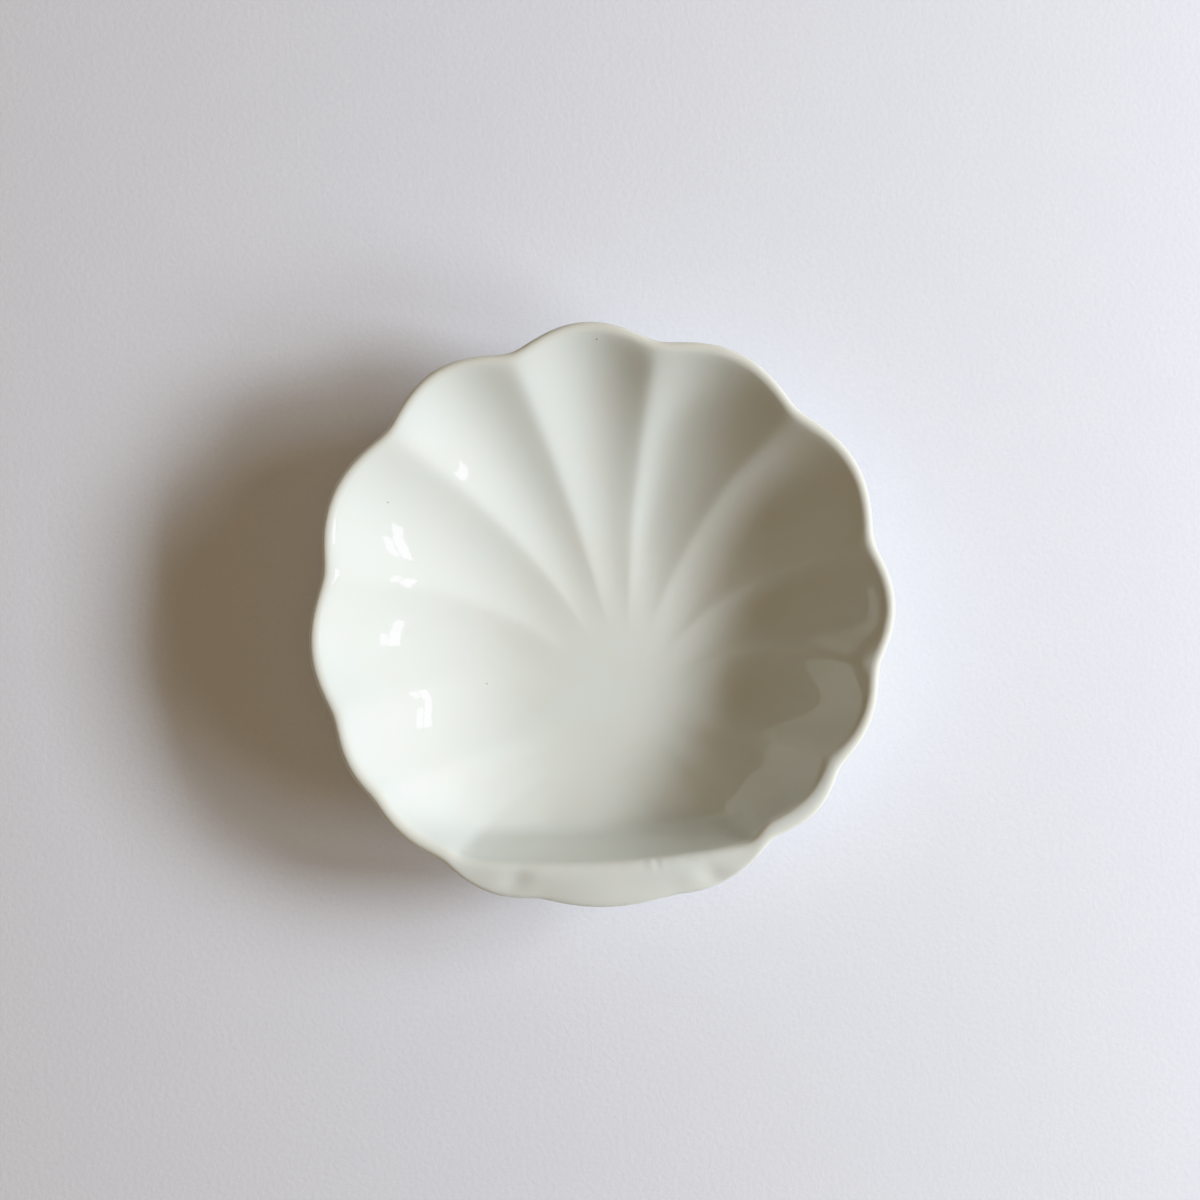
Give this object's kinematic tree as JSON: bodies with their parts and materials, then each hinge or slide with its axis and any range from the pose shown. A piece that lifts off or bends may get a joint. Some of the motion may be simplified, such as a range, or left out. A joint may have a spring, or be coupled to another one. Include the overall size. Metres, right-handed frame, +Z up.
{
  "type": "shell dish",
  "caption": "White glazed ceramic dish in the form of a scallop shell: fluted bowl with a scalloped rim, a flat hinge lip and a low foot ring, for serving, soap or small things.",
  "frame": {"origin": "on the surface that the dish stands on, under the middle of its outline", "axes": "+Z up out of the bowl; +Y towards the fan of flutes, so the hinge lip is at -Y; +X to the right when looking down with the fan at the top"},
  "size_m": [0.1366, 0.1364, 0.0335],
  "materials": {
    "white_glaze": "glossy white glaze with a faint warm green cast",
    "bare_clay": "fired pale clay under the glaze",
    "foot_clay": "glazed sides, bare fired clay on the bearing face"
  },
  "bodies": {
    "root": {"shell_body": "bare_clay", "glaze_coat": "white_glaze", "foot_ring": "foot_clay", "base_glaze": "white_glaze"}
  },
  "joints": []
}
